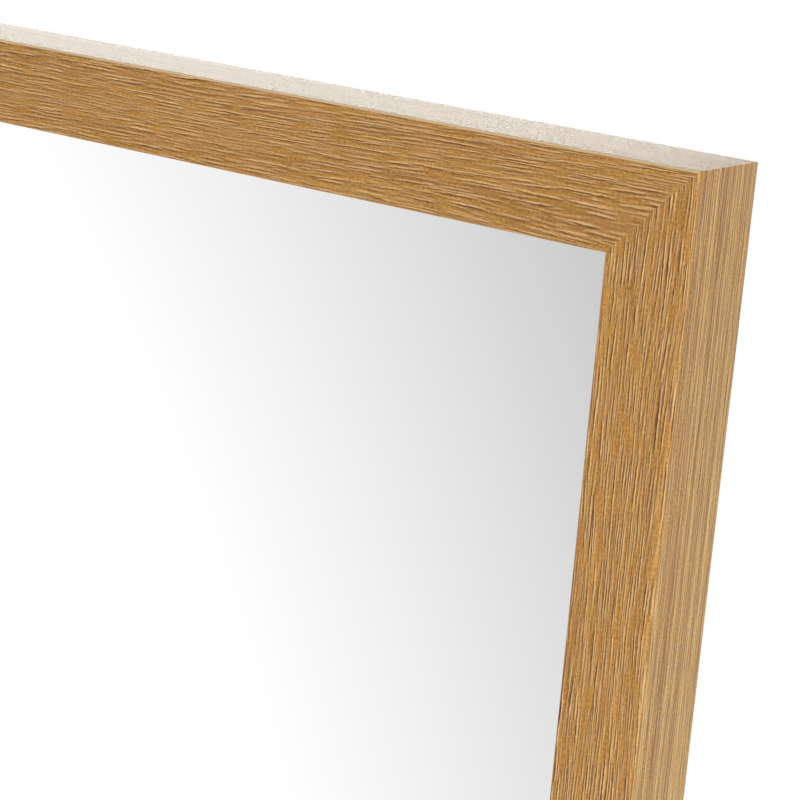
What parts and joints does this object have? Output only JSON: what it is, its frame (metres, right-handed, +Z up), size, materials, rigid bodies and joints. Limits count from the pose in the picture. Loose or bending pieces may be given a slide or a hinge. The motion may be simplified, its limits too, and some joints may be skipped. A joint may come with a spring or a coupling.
{
  "type": "leaning floor mirror",
  "caption": "Tall floor mirror: a silvered pane in a mitred, oak-effect frame of rectangular moulding, with rubber feet, wall bumpers and swinging D-ring hangers behind.",
  "frame": {"origin": "on the floor, in the middle of the mirror's own box, upright on its feet", "axes": "+Z up along the stiles, -Y the way the glass looks, +X to the right for someone who looks into the mirror"},
  "size_m": [0.6, 0.0454, 1.6],
  "materials": {
    "fibreboard": "raw medium-density fibreboard, smooth and matt",
    "oak_foil": "golden oak-effect foil with embossed pores, satin",
    "bright_steel": "bright cold-rolled steel",
    "silvered_glass": "silvered float glass",
    "safety_film": "white polyethylene film",
    "hardboard": "thin brown hardboard, smooth side out",
    "foam_tape": "closed-cell foam",
    "black_rubber": "matt black rubber",
    "cork": "pressed cork",
    "zinc_plate": "zinc-plated steel",
    "clear_rubber": "translucent soft polyurethane"
  },
  "bodies": {
    "mirror": {"top_rail": "fibreboard", "bottom_rail": "fibreboard", "left_stile": "fibreboard", "right_stile": "fibreboard", "top_rail_foil": "oak_foil", "bottom_rail_foil": "oak_foil", "left_stile_foil": "oak_foil", "right_stile_foil": "oak_foil", "corner_v_nails": "bright_steel", "backing_points": "bright_steel", "mirror_glass": "silvered_glass", "safety_film": "safety_film", "backing_board": "hardboard", "top_glazing_tape": "foam_tape", "bottom_glazing_tape": "foam_tape", "left_glazing_tape": "foam_tape", "right_glazing_tape": "foam_tape", "setting_blocks": "black_rubber", "edge_spacers": "cork", "left_hanger_strap": "zinc_plate", "right_hanger_strap": "zinc_plate", "hanger_screws": "zinc_plate", "left_foot": "black_rubber", "right_foot": "black_rubber", "wall_bumpers": "clear_rubber"},
    "left_ring": {"left_hanger_ring": "zinc_plate"},
    "right_ring": {"right_hanger_ring": "zinc_plate"}
  },
  "joints": [
    {"name": "left_ring_swing", "type": "hinge", "parent": "mirror", "child": "left_ring", "pos_m": [-0.2845, 0.0196, 1.28], "axis": [1, 0, 0], "range_deg": [0, 180]},
    {"name": "right_ring_swing", "type": "hinge", "parent": "mirror", "child": "right_ring", "pos_m": [0.2845, 0.0196, 1.28], "axis": [1, 0, 0], "range_deg": [0, 180]}
  ]
}
